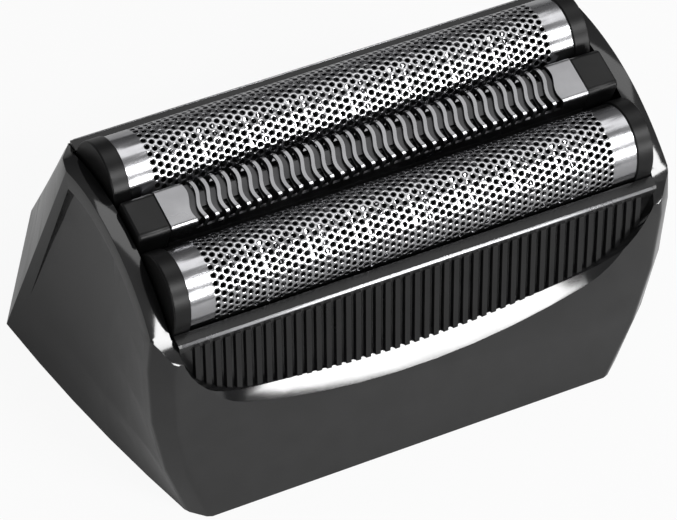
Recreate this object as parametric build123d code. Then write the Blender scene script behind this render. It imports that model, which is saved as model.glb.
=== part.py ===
# Foil shaver head: a push-on cassette with two floating foils and a slotted trimmer between them.
# Millimetres. X runs along the foils, -Y is the front, +Z is up. The origin is the middle of the bottom rim.
import math
import os

from build123d import *

# Overall sizes that the rest follows
HOUSING_H = 23.5          # rim to the highest point of the end walls
FOIL_HALF_L = 23.0        # to the ends of the frame inside a foil
FOIL_HALF_W = 3.68
TRIM_HALF_W = 2.06

# Housing: a shell that is narrow and deep at its rim, and long and shallow at its top.
# Each end is bowed from a front crease to a tail behind its middle. Facets lead on to the front and the back.
TOP_END_BEYOND = 2.7      # from a foil's end to the housing's end, at the top
TOP_BOW = 0.1
TOP_FACET = 1.8
TOP_CREASE_IN = 1.8
TOP_TAIL_IN = 2.7
TOP_EDGE = 0.94           # from a foil's side to the front, at the top
RIM_END_OUT = 1.8         # the same points at the rim, from those at the top
RIM_TAIL_OUT = 3.6
RIM_TAIL_IN = 1.5
RIM_CREASE_IN = 3.4
RIM_CREASE_OUT = 7.8
RIM_FACET_X, RIM_FACET_Y = 1.7, 1.3
BOW_Y = -1.0              # where each end's bow is measured
BOW_FACETS = 5            # straight stretches in each bow
SHOULDER_OUT = 1.9        # how far the front corners swell at half height
SWELL = (0, 0.75, 1, 0.75, 0)  # shares of that, at even steps from the rim to the top
LIP_R = 19.0              # arch of the end walls' upper edge
LIP_W = 1.5               # plain edge along the arch, above the hollow in each end
DISH_DEPTH = 0.7          # of the hollow, at the top
DISH_FADE = 0.05          # the hollow starts this far outside the wall, at its lower end
DISH_LOW_Z = 4.0          # where the hollow runs out
DISH_SHARE = 0.94         # how far along the bow the hollow reaches
DISH_RAMP = 2             # stretches of the bow over which it deepens
WALL = 1.4
CATCH_W, CATCH_H, CATCH_REACH, CATCH_Z = 8.0, 1.2, 0.9, 2.4
NIB_W, NIB_H, NIB_REACH, NIB_X = 4.0, 1.0, 1.0, 12.0

# Windows in the front and the back of the housing, each with a crescent ledge below it
WINDOW_BEYOND = 0.9       # past the end of the foils
WINDOW_DROP = 2.6         # from the top of the housing
WINDOW_H = 9.5
WINDOW_FLAT_IN = 6.9      # the lower edge is a flat arc up to here
WINDOW_FLAT_RISE = 1.8
KNEE_IN, KNEE_UP = 0.32, 0.36  # where the corner arc passes, as shares of its width and height
WINDOW_FACETS = 9         # straight stretches in each arc of a window's edge
LEDGE_START = 3.29        # the ledge opens outwards this far outside the foils
LEDGE_TAPER = 45.0        # degrees

# Ribbed panels in the windows
PANEL_GAP = 0.05
PANEL_T = 0.9
PANEL_LEAN = 14.0         # degrees from upright
SHELF_T = 1.2
SHELF_W = 1.23
SHELF_EDGE = 0.22
RIB_COUNT = 46
RIB_BORDER = 1.36
RIB_RISE = 0.32
RIB_FLANK = 0.12          # across each sloping side
RIB_CREST = 0.5
RIB_SLANT = 5.0           # degrees, to the right on the way down

# Foils
FOIL_PROUD = 1.8          # above the housing
FOIL_RISE = 4.24          # height of the foil's elliptical crown
FOIL_H = 10.0
FOIL_T = 0.12

# Foil frames: end caps, rails inside the skirts, bridges and hooked legs
CAP_T = 0.85
CAP_LIP = 0.15            # the cap stands proud of the foil
CAP_RIM = 0.8             # part of the cap that stands above the frame's end
CAP_H = 7.3
RAIL_T = 0.88
RAIL_BELOW, RAIL_H = 0.5, 2.5
BRIDGE_BELOW, BRIDGE_H = 1.5, 2.0
BRIDGE_L = 3.1
LEG_T, LEG_W = 1.2, 3.0
TOE_H, TOE_REACH = 1.1, 0.7
TOE_GAP = 0.05

# Trimmer
TRIM_PROUD = 1.05         # above the housing
TRIM_GAP = 0.34           # between the trimmer and a foil
TRIM_END_IN = 2.26        # from a foil's end to the comb's end
TRIM_T = 0.25
TRIM_SKIRT = 2.4
PLATE_L = 2.89            # from the comb's end to the middle of its first slot
SLOT_COUNT = 36
SLOT_W = 0.6
SLOT_JOG = 0.55           # sideways step in the middle of each slot
SLOT_STEP_Y = 0.45        # half the length of the step, across the comb
SLOT_DOWN = 1.0           # how far a slot runs down each skirt
BLOCK_H = 5.25
BLOCK_EDGE = 0.35
TRIM_RAIL_T = 0.75
COLUMN_HALF_W = 1.3
TRIM_BLADE_GAP = 0.06
TRIM_TOOTH_W = 0.6
TRIM_TOOTH_END = 1.47     # from the blade's end to the middle of its first gap
TRIM_GAP_COUNT = 23
TRIM_SPINE = 0.4          # share of the blade left whole along its middle

# Cutters
CUTTER_TRAVEL = 1.2       # each way
CUTTER_END_GAP = 0.4      # left at the end of the travel
BLADE_COUNT = 25
BLADE_END = 0.9           # from the bar's end to its first blade
BLADE_T = 0.25
BLADE_STEP = 45           # degrees between the corners of a blade's arch
BLADE_GAP = 0.06          # under the foil
CUTTER_BAR_UP, CUTTER_BAR_H = 0.6, 3.2
CUTTER_BAR_HALF_W = 2.15
BOSS_HALF_L, BOSS_HALF_W, BOSS_H = 3.0, 1.9, 4.1
DRIVE_SLOT_L, DRIVE_SLOT_W, DRIVE_SLOT_DEPTH = 2.4, 1.8, 3.2

# Chassis and float springs
FLOOR_T = 1.5
FLOOR_GAP = 0.15
DRIVE_WINDOW_HALF_L, DRIVE_WINDOW_HALF_W = 7.5, 9.5
LEG_HOLE_GAP = 0.25
SPRING_H = 5.5
SPRING_T, SPRING_W = 0.3, 2.2
SPRING_REACH = 6.0
SPRING_FOLD = 1.4

# Clearances between what moves and the shell
END_GAP = 0.2
SIDE_GAP = 0.25
FLOAT_TRAVEL = 1.5

# Sizes that follow, across the head
FOIL_Y = TRIM_HALF_W + TRIM_GAP + FOIL_HALF_W
FOIL_SIDE_Y = FOIL_Y + FOIL_HALF_W
FOIL_INNER_HALF_W = FOIL_HALF_W - FOIL_T
SHELF_INNER_Y = FOIL_SIDE_Y + SIDE_GAP
RAIL_EDGE_Y = SHELF_INNER_Y + SHELF_W
TOP_FRONT_Y = FOIL_SIDE_Y + TOP_EDGE
TOP_CREASE_Y = TOP_FRONT_Y - TOP_CREASE_IN
TOP_TAIL_Y = TOP_FRONT_Y - TOP_TAIL_IN
RIM_TAIL_Y = TOP_TAIL_Y - RIM_TAIL_IN
RIM_CREASE_Y = TOP_CREASE_Y + RIM_CREASE_OUT
RIM_FRONT_Y = RIM_CREASE_Y + RIM_FACET_Y
LEDGE_START_Y = FOIL_SIDE_Y + LEDGE_START + SIDE_GAP
LOWER_CAVITY_HALF_W = FOIL_SIDE_Y + SIDE_GAP
UPPER_CAVITY_HALF_W = FOIL_SIDE_Y + CAP_LIP + SIDE_GAP

# Sizes that follow, along the head
CAP_END_X = FOIL_HALF_L + CAP_T
SHEET_HALF_L = FOIL_HALF_L - CAP_RIM
BRIDGE_X = FOIL_HALF_L - BRIDGE_L
TOP_END_X = FOIL_HALF_L + TOP_END_BEYOND
TOP_CREASE_X = TOP_END_X - TOP_BOW
TOP_FRONT_X = TOP_END_X - TOP_FACET
RIM_END_X = TOP_END_X + RIM_END_OUT
RIM_TAIL_X = TOP_END_X + RIM_TAIL_OUT
RIM_CREASE_X = TOP_CREASE_X - RIM_CREASE_IN
RIM_FRONT_X = RIM_CREASE_X - RIM_FACET_X
WINDOW_HALF_W = FOIL_HALF_L + WINDOW_BEYOND
WINDOW_FLAT_X = WINDOW_HALF_W - WINDOW_FLAT_IN
RIB_PITCH = 2 * (WINDOW_HALF_W - RIB_BORDER) / RIB_COUNT
RIB_GAP = RIB_PITCH - RIB_CREST - 2 * RIB_FLANK
TRIM_HALF_L = FOIL_HALF_L - TRIM_END_IN
SLOT_PITCH = 2 * (TRIM_HALF_L - PLATE_L) / (SLOT_COUNT - 1)
CUTTER_HALF_L = BRIDGE_X - CUTTER_TRAVEL - CUTTER_END_GAP
BLADE_PITCH = 2 * (CUTTER_HALF_L - BLADE_END) / (BLADE_COUNT - 1)
TRIM_TOOTH_PITCH = 2 * (CUTTER_HALF_L - TRIM_TOOTH_END) / (TRIM_GAP_COUNT - 1)
UPPER_CAVITY_HALF_L = CAP_END_X + END_GAP
LOWER_CAVITY_HALF_L = FOIL_HALF_L + END_GAP

# Sizes that follow, in height
FOIL_TOP = HOUSING_H + FOIL_PROUD
CROWN_Z = FOIL_TOP - FOIL_RISE
FOIL_SKIRT_Z = FOIL_TOP - FOIL_H
CAP_BOTTOM = FOIL_TOP - CAP_H
RAIL_Z = (FOIL_SKIRT_Z - RAIL_BELOW, FOIL_SKIRT_Z - RAIL_BELOW + RAIL_H)
BRIDGE_Z = (FOIL_SKIRT_Z - BRIDGE_BELOW, FOIL_SKIRT_Z - BRIDGE_BELOW + BRIDGE_H)
CUTTER_BAR_Z = (BRIDGE_Z[0] + CUTTER_BAR_UP, BRIDGE_Z[0] + CUTTER_BAR_UP + CUTTER_BAR_H)
BOSS_BOTTOM = CUTTER_BAR_Z[0] - BOSS_H
TRIM_TOP = HOUSING_H + TRIM_PROUD
BLOCK_BOTTOM = TRIM_TOP - BLOCK_H
WINDOW_TOP = HOUSING_H - WINDOW_DROP
WINDOW_BOTTOM = WINDOW_TOP - WINDOW_H
FLOOR_TOP = BRIDGE_Z[0] - SPRING_H
FLOOR_BOTTOM = FLOOR_TOP - FLOOR_T
TOE_TOP = FLOOR_BOTTOM - TOE_GAP
UPPER_CAVITY_Z = CAP_BOTTOM - FLOAT_TRAVEL - END_GAP
ABOVE = 2 * HOUSING_H     # higher than anything that is cut


def box(x, y, z):
    """A box from three (low, high) spans."""
    size = [high - low for low, high in (x, y, z)]
    middle = [(high + low) / 2 for low, high in (x, y, z)]
    return Pos(*middle) * Box(*size)


def both_ends(shape):
    """A shape at +X and its mirror image at -X."""
    return [shape, mirror(shape, about=Plane.YZ)]


def mix(low, high, share):
    return low + (high - low) * share


def swell(share):
    """How far the front corners stand out, at a share of the way from the rim to the top."""
    steps = len(SWELL) - 1
    low = min(int(share * steps), steps - 1)
    return SHOULDER_OUT * mix(SWELL[low], SWELL[low + 1], share * steps - low)


def heights(z_low, z_high):
    """Heights at which the housing's form is set out, between and including two."""
    steps = [HOUSING_H * i / (len(SWELL) - 1) for i in range(len(SWELL))]
    return [z_low] + [z for z in steps if z_low < z < z_high] + [z_high]


def end_bow(z, inset=0.0):
    """The +X end in plan at one height: an arc from the front crease to the tail."""
    share = z / HOUSING_H
    crease_x = mix(RIM_CREASE_X, TOP_CREASE_X, share) + swell(share) - inset
    crease_y = mix(RIM_CREASE_Y, TOP_CREASE_Y, share) - inset
    middle = (mix(RIM_END_X, TOP_END_X, share) - inset, BOW_Y)
    tail = (mix(RIM_TAIL_X, TOP_CREASE_X, share) - inset, mix(RIM_TAIL_Y, TOP_TAIL_Y, share))
    return ThreePointArc((crease_x, -crease_y), middle, tail)


def outline(z, inset=0.0):
    """Plan of the housing at one height, taken in by a wall."""
    share = z / HOUSING_H
    bow = end_bow(z, inset)
    right = [bow @ (k / BOW_FACETS) for k in range(BOW_FACETS + 1)]
    front_x = mix(RIM_FRONT_X, TOP_FRONT_X, share) - inset
    front_y = mix(RIM_FRONT_Y, TOP_FRONT_Y, share) - inset
    right = [(front_x + swell(share), -front_y)] + [(p.X, p.Y) for p in right]
    right += [(mix(RIM_CREASE_X, TOP_CREASE_X, share) - inset, -right[1][1]), (front_x, front_y)]
    left = [(-x, y) for x, y in reversed(right)]
    with BuildSketch(Plane.XY.offset(z)) as plan:
        with BuildLine():
            Polyline(*right, *left, close=True)
        make_face()
    return plan.sketch


def tapered_shell(z_low, z_high, inset=0.0):
    """The housing's form between two heights, taken in by a wall."""
    return loft([outline(z, inset) for z in heights(z_low, z_high)], ruled=True)


def window_sketch(y, shrink=0.0):
    """A window's outline at the front, on the plane at that Y, in short facets and open at its top."""
    half, bottom = WINDOW_HALF_W - shrink, WINDOW_BOTTOM + shrink
    flat_x, flat_z = WINDOW_FLAT_X, bottom + WINDOW_FLAT_RISE
    knee = (half - KNEE_IN * (half - flat_x), flat_z + KNEE_UP * (WINDOW_TOP - flat_z))
    arcs = [ThreePointArc((half, WINDOW_TOP), knee, (flat_x, flat_z)),
            ThreePointArc((flat_x, flat_z), (0, bottom), (-flat_x, flat_z)),
            ThreePointArc((-flat_x, flat_z), (-knee[0], knee[1]), (-half, WINDOW_TOP))]
    border = [Polyline(*[arc @ (k / WINDOW_FACETS) for k in range(WINDOW_FACETS + 1)]) for arc in arcs]
    border.append(Polyline((-half, WINDOW_TOP), (-half, ABOVE), (half, ABOVE), (half, WINDOW_TOP)))
    face = make_face([edge for line in border for edge in line.edges()])
    return Plane((0, -y, 0), x_dir=(1, 0, 0), z_dir=(0, -1, 0)) * face


def front_window():
    """What is cut away for one window: a straight opening and the crescent ledge outside it."""
    opening = extrude(window_sketch(LOWER_CAVITY_HALF_W - WALL), RIM_FRONT_Y)
    ledge = extrude(window_sketch(LEDGE_START_Y), RIM_FRONT_Y - LEDGE_START_Y + WALL, taper=-LEDGE_TAPER)
    return [opening, ledge]


def lip_arch(radius):
    """A bar along the head whose top is the arch of the end walls, or runs parallel to it."""
    return Pos(0, 0, HOUSING_H - LIP_R) * Rot(0, 90, 0) * Cylinder(radius, 4 * RIM_TAIL_X)


def dish_plan(z):
    """Plan of the hollow in the +X end at one height: it deepens from the front crease to the tail."""
    depth = mix(-DISH_FADE, DISH_DEPTH, (z - DISH_LOW_Z) / (HOUSING_H - DISH_LOW_Z))
    bow = end_bow(z)
    edge = [bow @ mix(1 - DISH_SHARE, DISH_SHARE, k / BOW_FACETS) for k in range(BOW_FACETS + 1)]
    inner = [(p.X - depth * min(k / DISH_RAMP, 1), p.Y) for k, p in enumerate(edge)]
    far_x = 2 * RIM_TAIL_X
    with BuildSketch(Plane.XY.offset(z)) as plan:
        with BuildLine():
            Polyline(*inner, (far_x, inner[-1][1]), (far_x, inner[0][1]), close=True)
        make_face()
    return plan.sketch


def end_dish():
    """The hollow in the +X end: it leaves a plain edge along the arch, and runs out above the rim."""
    hollow = loft([dish_plan(z) for z in heights(DISH_LOW_Z, HOUSING_H)], ruled=True)
    return hollow & lip_arch(LIP_R - LIP_W)


def make_housing():
    form = tapered_shell(0, HOUSING_H)
    shell = form & lip_arch(LIP_R)
    shell -= tapered_shell(0, FLOOR_TOP, WALL)
    shell -= box((-LOWER_CAVITY_HALF_L, LOWER_CAVITY_HALF_L), (-LOWER_CAVITY_HALF_W, LOWER_CAVITY_HALF_W),
                 (FLOOR_TOP, ABOVE))
    shell -= box((-UPPER_CAVITY_HALF_L, UPPER_CAVITY_HALF_L), (-UPPER_CAVITY_HALF_W, UPPER_CAVITY_HALF_W),
                 (UPPER_CAVITY_Z, ABOVE))
    for cut in front_window():
        shell -= cut
        shell -= mirror(cut, about=Plane.XZ)
    for cut in both_ends(end_dish()):
        shell -= cut
    catch_x = mix(RIM_END_X, TOP_END_X, CATCH_Z / HOUSING_H) - WALL - CATCH_REACH
    catch = box((catch_x, RIM_TAIL_X), (-CATCH_W / 2, CATCH_W / 2), (CATCH_Z, CATCH_Z + CATCH_H)) & form
    nib_top = FLOOR_BOTTOM - TOE_GAP
    nib_y = mix(RIM_FRONT_Y, TOP_FRONT_Y, nib_top / HOUSING_H) - WALL - NIB_REACH
    nib = box((NIB_X - NIB_W / 2, NIB_X + NIB_W / 2), (nib_y, RIM_FRONT_Y), (nib_top - NIB_H, nib_top))
    nib &= form
    nibs = [n for end in both_ends(nib) for n in (end, mirror(end, about=Plane.XZ))]
    for lump in both_ends(catch) + nibs:
        shell += lump
    return shell


def make_rib_panel():
    """The front panel: a shelf beside the foil and a leaning plate with upright ribs below it."""
    shelf_half = WINDOW_HALF_W - PANEL_GAP
    shelf = box((-shelf_half, shelf_half), (-RAIL_EDGE_Y, -SHELF_INNER_Y),
                (WINDOW_TOP - SHELF_T, WINDOW_TOP))
    edge = shelf.edges().filter_by(Axis.X).sort_by(lambda e: e.center().Z - e.center().Y)[-1]
    shelf = chamfer(edge, SHELF_EDGE)
    lean = Plane((0, -RAIL_EDGE_Y + RIB_RISE, WINDOW_TOP), x_dir=(1, 0, 0),
                 z_dir=(0, -math.sin(math.radians(PANEL_LEAN)), -math.cos(math.radians(PANEL_LEAN))))
    half = RIB_COUNT * RIB_PITCH / 2
    with BuildSketch(lean) as scallops:
        with BuildLine():
            for i in range(RIB_COUNT):
                left = -half + i * RIB_PITCH
                flank, crest = left + RIB_FLANK, left + RIB_FLANK + RIB_CREST
                Polyline((left, 0), (flank, RIB_RISE), (crest, RIB_RISE), (crest + RIB_FLANK, 0))
                if i < RIB_COUNT - 1:
                    Line((crest + RIB_FLANK, 0), (left + RIB_PITCH, 0))
            Polyline((half - RIB_GAP, 0), (shelf_half, 0), (shelf_half, -PANEL_T), (-shelf_half, -PANEL_T),
                     (-shelf_half, 0), (-half, 0))
        make_face()
    down = lean.z_dir + Vector(math.tan(math.radians(RIB_SLANT)), 0, 0)
    plate = extrude(scallops.sketch, 2 * (WINDOW_TOP - WINDOW_BOTTOM), dir=down)
    inside = extrude(window_sketch(0, PANEL_GAP), 2 * RIM_FRONT_Y)
    plate -= box((-ABOVE, ABOVE), (-ABOVE, ABOVE), (WINDOW_TOP - SHELF_T / 2, ABOVE))
    return (shelf + plate) & inside


def crown(half_w, rise, z_low):
    """A foil's section: an elliptical crown on straight sides, about Y = 0."""
    with BuildSketch(Plane.YZ) as section:
        with BuildLine():
            EllipticalCenterArc((0, CROWN_Z), half_w, rise, start_angle=0, arc_size=180)
            Polyline((-half_w, CROWN_Z), (-half_w, z_low), (half_w, z_low), (half_w, CROWN_Z))
        make_face()
    return section.sketch


def along_x(section, x_low, x_high):
    """A section on the YZ plane, extruded between two X positions."""
    return extrude(Pos(x_low, 0, 0) * section, x_high - x_low)


def make_foil():
    """One foil about Y = 0: a thin sheet bent over its crown."""
    outer = along_x(crown(FOIL_HALF_W, FOIL_RISE, FOIL_SKIRT_Z), -SHEET_HALF_L, SHEET_HALF_L)
    inner = along_x(crown(FOIL_INNER_HALF_W, FOIL_RISE - FOIL_T, FOIL_SKIRT_Z), -SHEET_HALF_L, SHEET_HALF_L)
    return outer - inner


def hooked_leg(half_w, top):
    """A leg at +X that hangs through the floor, with a toe below the floor that stops the frame's rise."""
    outer = FOIL_HALF_L
    stem = box((outer - LEG_T, outer), (-half_w, half_w), (TOE_TOP - TOE_H, top))
    toe = box((outer - LEG_T - TOE_REACH, outer), (-half_w, half_w), (TOE_TOP - TOE_H, TOE_TOP))
    return stem + toe


def make_foil_cap():
    """The cap on the foil's +X end, about Y = 0: a plate that stands on the frame's end."""
    return along_x(crown(FOIL_HALF_W + CAP_LIP, FOIL_RISE + CAP_LIP, CAP_BOTTOM), SHEET_HALF_L, CAP_END_X)


def make_foil_frame():
    """The frame inside one foil, about Y = 0: two rails, and a web, a bridge and a leg at each end."""
    bridge = box((BRIDGE_X, FOIL_HALF_L), (-FOIL_INNER_HALF_W, FOIL_INNER_HALF_W), BRIDGE_Z)
    web = box((FOIL_HALF_L - LEG_T, FOIL_HALF_L), (-FOIL_INNER_HALF_W, FOIL_INNER_HALF_W),
              (BRIDGE_Z[0], CAP_BOTTOM))
    end = bridge + web + hooked_leg(LEG_W / 2, BRIDGE_Z[0])
    rail = box((-FOIL_HALF_L, FOIL_HALF_L), (FOIL_INNER_HALF_W - RAIL_T, FOIL_INNER_HALF_W), RAIL_Z)
    frame = rail + mirror(rail, about=Plane.XZ)
    for piece in both_ends(end):
        frame += piece
    return frame


def blade_outline():
    """A cutter blade about Y = 0: an arched plate that stands on the bar and follows the foil."""
    half_w, rise = FOIL_INNER_HALF_W - BLADE_GAP, FOIL_RISE - FOIL_T - BLADE_GAP
    arch = [(half_w * math.cos(math.radians(a)), CROWN_Z + rise * math.sin(math.radians(a)))
            for a in range(0, 181, BLADE_STEP)]
    points = [(half_w, CUTTER_BAR_Z[1]), *arch, (-half_w, CUTTER_BAR_Z[1])]
    with BuildSketch(Plane.YZ) as section:
        with BuildLine():
            Polyline(*points, close=True)
        make_face()
    return section.sketch


def make_cutter_blades():
    """The blades of one cutter about Y = 0, as separate plates."""
    plate = along_x(blade_outline(), -BLADE_T / 2, BLADE_T / 2)
    first = -BLADE_PITCH * (BLADE_COUNT - 1) / 2
    return Compound([Pos(first + i * BLADE_PITCH, 0, 0) * plate for i in range(BLADE_COUNT)])


def drive_boss(half_w, top):
    """The boss under a cutter, with the slot that the shaver's drive pin enters from below."""
    boss = box((-BOSS_HALF_L, BOSS_HALF_L), (-half_w, half_w), (BOSS_BOTTOM, top))
    slot = box((-DRIVE_SLOT_W / 2, DRIVE_SLOT_W / 2), (-DRIVE_SLOT_L / 2, DRIVE_SLOT_L / 2),
               (BOSS_BOTTOM, BOSS_BOTTOM + DRIVE_SLOT_DEPTH))
    return boss - slot


def make_cutter_bar():
    """The moulded bar that carries one cutter's blades, about Y = 0."""
    bar = box((-CUTTER_HALF_L, CUTTER_HALF_L), (-CUTTER_BAR_HALF_W, CUTTER_BAR_HALF_W), CUTTER_BAR_Z)
    return bar + drive_boss(BOSS_HALF_W, CUTTER_BAR_Z[0])


def s_slot(width, reach, jog):
    """A slot across the comb with a sideways step in its middle, on the plane of the comb's top."""
    h, s = width / 2, SLOT_STEP_Y
    return [(-h + jog / 2, reach), (-h + jog / 2, s), (-h - jog / 2, -s), (-h - jog / 2, -reach),
            (h - jog / 2, -reach), (h - jog / 2, -s), (h + jog / 2, s), (h + jog / 2, reach)]


def slot_cuts(width, jog):
    """All the comb's slots as one set of prisms that reach down the skirts."""
    first = -SLOT_PITCH * (SLOT_COUNT - 1) / 2
    with BuildSketch(Plane.XY.offset(TRIM_TOP - TRIM_T - SLOT_DOWN)) as slots:
        for i in range(SLOT_COUNT):
            with Locations((first + i * SLOT_PITCH, 0)):
                Polygon(*s_slot(width, 2 * TRIM_HALF_W, jog), align=None)
    return extrude(slots.sketch, 2 * (TRIM_T + SLOT_DOWN))


def channel(half_l, half_w, top, thickness, skirt):
    """A strip folded down along both long edges."""
    outer = box((-half_l, half_l), (-half_w, half_w), (top - skirt, top))
    inner_half_w = half_w - thickness
    inner = box((-half_l, half_l), (-inner_half_w, inner_half_w), (top - skirt, top - thickness))
    return outer - inner


def make_trimmer_comb():
    comb = channel(TRIM_HALF_L, TRIM_HALF_W, TRIM_TOP, TRIM_T, TRIM_SKIRT)
    return comb - slot_cuts(SLOT_W, SLOT_JOG)


def make_trimmer_blade():
    """The moving blade under the comb: a toothed strip."""
    top = TRIM_TOP - TRIM_T - TRIM_BLADE_GAP
    half_w = TRIM_HALF_W - TRIM_T - TRIM_BLADE_GAP
    strip = box((-CUTTER_HALF_L, CUTTER_HALF_L), (-half_w, half_w), (top - TRIM_T, top))
    first = -TRIM_TOOTH_PITCH * (TRIM_GAP_COUNT - 1) / 2
    half_gap = (TRIM_TOOTH_PITCH - TRIM_TOOTH_W) / 2
    for i in range(TRIM_GAP_COUNT):
        x = first + i * TRIM_TOOTH_PITCH
        gap = box((x - half_gap, x + half_gap),
                  (half_w * TRIM_SPINE, 2 * half_w), (top - 2 * TRIM_T, top + TRIM_T))
        strip -= [gap, mirror(gap, about=Plane.XZ)]
    return strip


def make_trimmer_slider():
    """The moulded slider that carries the trimmer's blade and takes the drive pin."""
    blade_bottom = TRIM_TOP - 2 * TRIM_T - TRIM_BLADE_GAP
    half_w = TRIM_HALF_W - TRIM_T - TRIM_RAIL_T - TRIM_BLADE_GAP
    bar = box((-CUTTER_HALF_L, CUTTER_HALF_L), (-half_w, half_w), (BLOCK_BOTTOM, blade_bottom))
    return bar + drive_boss(half_w, BLOCK_BOTTOM)


def make_trimmer_block():
    """The block at the comb's +X end."""
    block = box((TRIM_HALF_L, CAP_END_X), (-TRIM_HALF_W, TRIM_HALF_W), (BLOCK_BOTTOM, TRIM_TOP))
    return chamfer(block.edges().filter_by(Axis.X).group_by(Axis.Z)[-1], BLOCK_EDGE)


def make_trimmer_frame():
    """Two rails under the comb, joined by a column with a hooked leg at each end."""
    column = box((BRIDGE_X, FOIL_HALF_L), (-COLUMN_HALF_W, COLUMN_HALF_W), (BRIDGE_Z[0], BLOCK_BOTTOM))
    foot = box((BRIDGE_X, TRIM_HALF_L), (-TRIM_HALF_W, TRIM_HALF_W), (BLOCK_BOTTOM, TRIM_TOP - TRIM_SKIRT))
    end = column + foot + hooked_leg(COLUMN_HALF_W, BRIDGE_Z[0])
    rail = box((-TRIM_HALF_L, TRIM_HALF_L), (TRIM_HALF_W - TRIM_RAIL_T, TRIM_HALF_W),
               (BLOCK_BOTTOM, TRIM_TOP - TRIM_SKIRT))
    frame = rail + mirror(rail, about=Plane.XZ)
    for piece in both_ends(end):
        frame += piece
    return frame


def make_chassis():
    """The floor under the cartridges, with a window for the drive pins and holes for the hooked legs."""
    floor = tapered_shell(FLOOR_BOTTOM, FLOOR_TOP, WALL + FLOOR_GAP)
    floor -= box((-DRIVE_WINDOW_HALF_L, DRIVE_WINDOW_HALF_L), (-DRIVE_WINDOW_HALF_W, DRIVE_WINDOW_HALF_W),
                 (0, ABOVE))
    for y, half_w in ((-FOIL_Y, LEG_W / 2), (0, COLUMN_HALF_W), (FOIL_Y, LEG_W / 2)):
        hole = box((FOIL_HALF_L - LEG_T - LEG_HOLE_GAP, FOIL_HALF_L + LEG_HOLE_GAP),
                   (y - half_w - LEG_HOLE_GAP, y + half_w + LEG_HOLE_GAP), (0, ABOVE))
        for cut in both_ends(hole):
            floor -= cut
    return floor


def make_springs():
    """The pair of folded leaf springs under one cartridge, about Y = 0, from the floor to the bridges."""
    low, high = FLOOR_TOP, BRIDGE_Z[0]
    tip = FOIL_HALF_L - LEG_T - LEG_HOLE_GAP
    heel = tip - SPRING_REACH
    middle = (low + high) / 2
    outer = [(tip, low), (heel + SPRING_FOLD, low), (heel, middle), (heel + SPRING_FOLD, high), (tip, high)]
    inner = [(tip, high - SPRING_T), (heel + SPRING_FOLD, high - SPRING_T), (heel + SPRING_T, middle),
             (heel + SPRING_FOLD, low + SPRING_T), (tip, low + SPRING_T)]
    with BuildSketch(Plane.XZ.offset(-SPRING_W / 2)) as strip:
        with BuildLine():
            Polyline(*outer, *inner, close=True)
        make_face()
    return Compound(both_ends(extrude(strip.sketch, SPRING_W)))


def main():
    front, rear = Pos(0, -FOIL_Y, 0), Pos(0, FOIL_Y, 0)
    panel = make_rib_panel()
    parts = {
        "housing": make_housing(),
        "chassis": make_chassis(),
        "front_rib_panel": panel,
        "rear_rib_panel": mirror(panel, about=Plane.XZ),
        "trimmer_comb": make_trimmer_comb(),
        "trimmer_frame": make_trimmer_frame(),
        "trimmer_right_block": make_trimmer_block(),
        "trimmer_left_block": mirror(make_trimmer_block(), about=Plane.YZ),
        "trimmer_blade": make_trimmer_blade(),
        "trimmer_slider": make_trimmer_slider(),
        "trimmer_springs": make_springs(),
    }
    foil_set = {
        "foil": make_foil(),
        "foil_frame": make_foil_frame(),
        "right_cap": make_foil_cap(),
        "left_cap": mirror(make_foil_cap(), about=Plane.YZ),
        "cutter_blades": make_cutter_blades(),
        "cutter_bar": make_cutter_bar(),
        "float_springs": make_springs(),
    }
    for side, place in (("front", front), ("rear", rear)):
        for name, shape in foil_set.items():
            parts[f"{side}_{name}"] = place * shape
    os.makedirs("parts", exist_ok=True)
    for name, shape in parts.items():
        export_step(shape, os.path.join("parts", name + ".step"))


main()
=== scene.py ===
# %% [markdown]
# A foil shaver head, dressed for its picture. The solids come in as a fixed frame, in metres, with X
# along the foils, the front at -Y and Z up. Each step below says what a piece is on the real head, how it
# could be made in Blender, and why it is made this way here. Solids whose form is already right keep
# their place and only gain softened edges and a finish. The foils and the comb are made anew, because the
# foils' holes and the comb's bent teeth are finer than the solids show.

# %% Load the solids
import math

import bmesh
import bpy
from mathutils import Matrix, Quaternion, Vector


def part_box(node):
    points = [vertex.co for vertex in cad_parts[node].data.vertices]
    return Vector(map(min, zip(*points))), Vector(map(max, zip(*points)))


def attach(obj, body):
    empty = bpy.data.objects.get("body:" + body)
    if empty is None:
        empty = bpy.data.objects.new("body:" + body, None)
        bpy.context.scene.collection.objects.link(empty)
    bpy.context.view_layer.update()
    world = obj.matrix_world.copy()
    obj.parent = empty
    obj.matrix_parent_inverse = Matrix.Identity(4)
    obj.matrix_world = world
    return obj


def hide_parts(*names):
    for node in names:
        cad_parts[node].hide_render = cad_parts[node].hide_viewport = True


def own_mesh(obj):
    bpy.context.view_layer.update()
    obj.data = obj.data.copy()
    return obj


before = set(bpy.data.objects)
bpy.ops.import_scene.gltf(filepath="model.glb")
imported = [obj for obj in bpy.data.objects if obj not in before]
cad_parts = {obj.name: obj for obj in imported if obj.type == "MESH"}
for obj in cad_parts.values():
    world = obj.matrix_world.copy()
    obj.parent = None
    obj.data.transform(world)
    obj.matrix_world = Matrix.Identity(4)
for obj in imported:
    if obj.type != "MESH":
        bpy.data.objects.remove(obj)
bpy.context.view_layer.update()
MM = 0.001
SIDES = ("front", "rear")
ENDS = ("left", "right")

# %% [markdown]
# Finishes come first. A moulding is never quite smooth: its tool leaves a fine, even grain that breaks up
# what it mirrors. The grain could be drawn in each material anew, but several finishes need it, so it is
# a node group with its own sockets, built once. A group gives out only values that change over the
# surface, and the shader itself stays in each material.

# %% Moulded grain
def add_node(tree, kind, **settings):
    """Adds a node to a tree and sets some of its properties."""
    node = tree.nodes.new(kind)
    for key, value in settings.items():
        setattr(node, key, value)
    return node


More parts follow.
